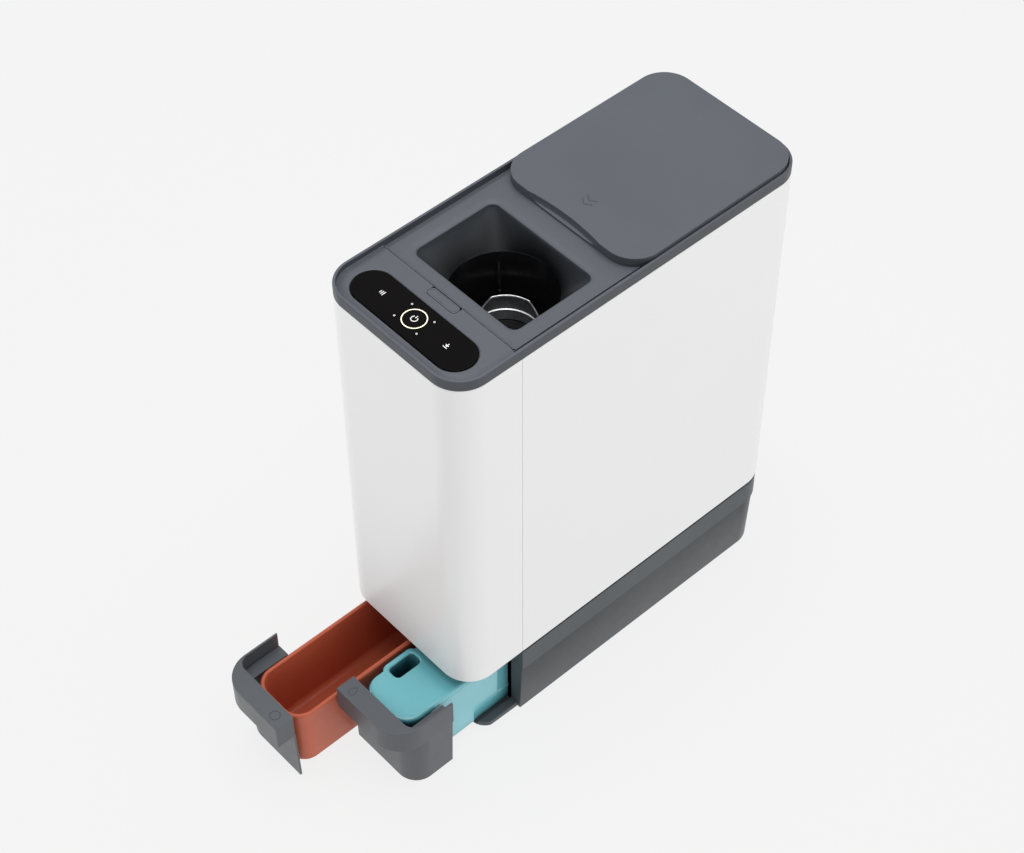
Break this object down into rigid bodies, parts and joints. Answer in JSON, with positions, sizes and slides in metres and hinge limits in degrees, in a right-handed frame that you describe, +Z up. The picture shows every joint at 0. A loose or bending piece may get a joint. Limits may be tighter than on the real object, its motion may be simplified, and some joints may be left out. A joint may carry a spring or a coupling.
{
  "type": "kitchen food-waste composter",
  "caption": "Slim floor-standing kitchen composter with a sliding lid over a feed hopper and grinder, a touch panel, and two pull-out drawers in its plinth.",
  "frame": {"origin": "on the floor, at the centre of the housing's footprint", "axes": "+Z up; the front, with the panel and the drawers, faces -Y; +X is to the right for a viewer looking along +Y"},
  "size_m": [0.2, 0.6422, 0.5937],
  "materials": {
    "white_shell": "satin gloss moulded plastic",
    "slate_plastic": "fine matt texture",
    "dark_plastic": "fine matt texture",
    "black_gloss": "high gloss",
    "rubber": "matt",
    "sheet_steel": "zinc-plated sheet",
    "stainless": "brushed",
    "chrome": "polished",
    "motor_casing": "cast",
    "terracotta": "fine matt texture",
    "teal": "slightly translucent, satin",
    "circuit_board": "solder mask",
    "ring_diffuser": "translucent diffuser",
    "carbon": "granular"
  },
  "bodies": {
    "housing": {"base_plinth": "slate_plastic", "anti_slip_pad_front": "rubber", "anti_slip_pad_middle": "rubber", "anti_slip_pad_rear": "rubber", "drawer_divider": "sheet_steel", "chassis_floor": "sheet_steel", "main_shell": "white_shell", "front_shell": "white_shell", "rear_grille": "dark_plastic", "power_inlet": "black_gloss", "side_frame_right": "sheet_steel", "side_frame_left": "sheet_steel", "control_deck": "slate_plastic", "control_glass": "black_gloss", "touch_ring": "ring_diffuser", "control_board": "circuit_board", "release_spring": "stainless", "hopper_deck": "slate_plastic", "rear_deck": "slate_plastic", "hopper_collar": "slate_plastic", "grinding_bowl": "black_gloss", "motor_plate": "sheet_steel", "grinder_motor": "motor_casing", "transfer_duct": "dark_plastic", "compost_chamber": "stainless", "chamber_cover": "dark_plastic", "mixer_bearing_right": "stainless", "mixer_bearing_left": "stainless", "drive_belt": "rubber", "mixer_motor": "motor_casing", "chamber_cradle_right": "sheet_steel", "chamber_cradle_left": "sheet_steel", "outlet_chute": "dark_plastic", "drain_nozzle": "dark_plastic", "drain_valve": "black_gloss", "drain_hose": "rubber", "filter_housing": "dark_plastic", "carbon_filter": "carbon", "fan_shroud": "dark_plastic", "power_supply": "motor_casing", "main_board": "circuit_board", "supply_lead": "rubber"},
    "lid": {"sliding_lid": "slate_plastic"},
    "compost_drawer": {"compost_drawer_front": "slate_plastic", "compost_bin": "terracotta"},
    "liquid_drawer": {"liquid_drawer_front": "slate_plastic", "liquid_tank": "teal"},
    "button": {"release_button": "slate_plastic"},
    "rotor": {"rotor_disc": "stainless", "rotor_blade_a": "chrome", "rotor_blade_b": "chrome", "grinder_shaft": "stainless"},
    "mixer": {"mixer_shaft": "stainless", "mixer_paddle_1": "stainless", "mixer_paddle_2": "stainless", "mixer_paddle_3": "stainless", "mixer_pulley": "dark_plastic"},
    "belt_drive": {"motor_pulley": "motor_casing"},
    "gate": {"outlet_gate": "stainless"},
    "fan": {"fan_impeller": "dark_plastic"}
  },
  "joints": [
    {"name": "lid_slide", "type": "slide", "parent": "housing", "child": "lid", "axis": [0, 1, 0], "range_m": [-0.1445, 0]},
    {"name": "compost_drawer_slide", "type": "slide", "parent": "housing", "child": "compost_drawer", "axis": [0, 1, 0], "range_m": [-0.04, 0.1798]},
    {"name": "liquid_drawer_slide", "type": "slide", "parent": "housing", "child": "liquid_drawer", "axis": [0, 1, 0], "range_m": [-0.1, 0.0994]},
    {"name": "release_button_press", "type": "slide", "parent": "housing", "child": "button", "axis": [0, 0, 1], "range_m": [-0.002, 0], "stiffness_N_per_m": 400, "springref_m": 0.0005},
    {"name": "rotor_spin", "type": "hinge", "parent": "housing", "child": "rotor", "pos_m": [0, -0.085, 0.48], "axis": [0, 0, 1], "continuous": true},
    {"name": "mixer_turn", "type": "hinge", "parent": "housing", "child": "mixer", "pos_m": [0, 0.105, 0.33], "axis": [1, 0, 0], "continuous": true},
    {"name": "motor_pulley_turn", "type": "hinge", "parent": "housing", "child": "belt_drive", "pos_m": [-0.09, 0.174, 0.209], "axis": [1, 0, 0], "continuous": true},
    {"name": "outlet_gate_slide", "type": "slide", "parent": "housing", "child": "gate", "axis": [0, 1, 0], "range_m": [0, 0.064]},
    {"name": "fan_spin", "type": "hinge", "parent": "housing", "child": "fan", "pos_m": [0, 0.216, 0.49], "axis": [0, 1, 0], "continuous": true}
  ],
  "couplings": [
    {"joint": "motor_pulley_turn", "follows": "mixer_turn", "ratio": 3.3333}
  ]
}
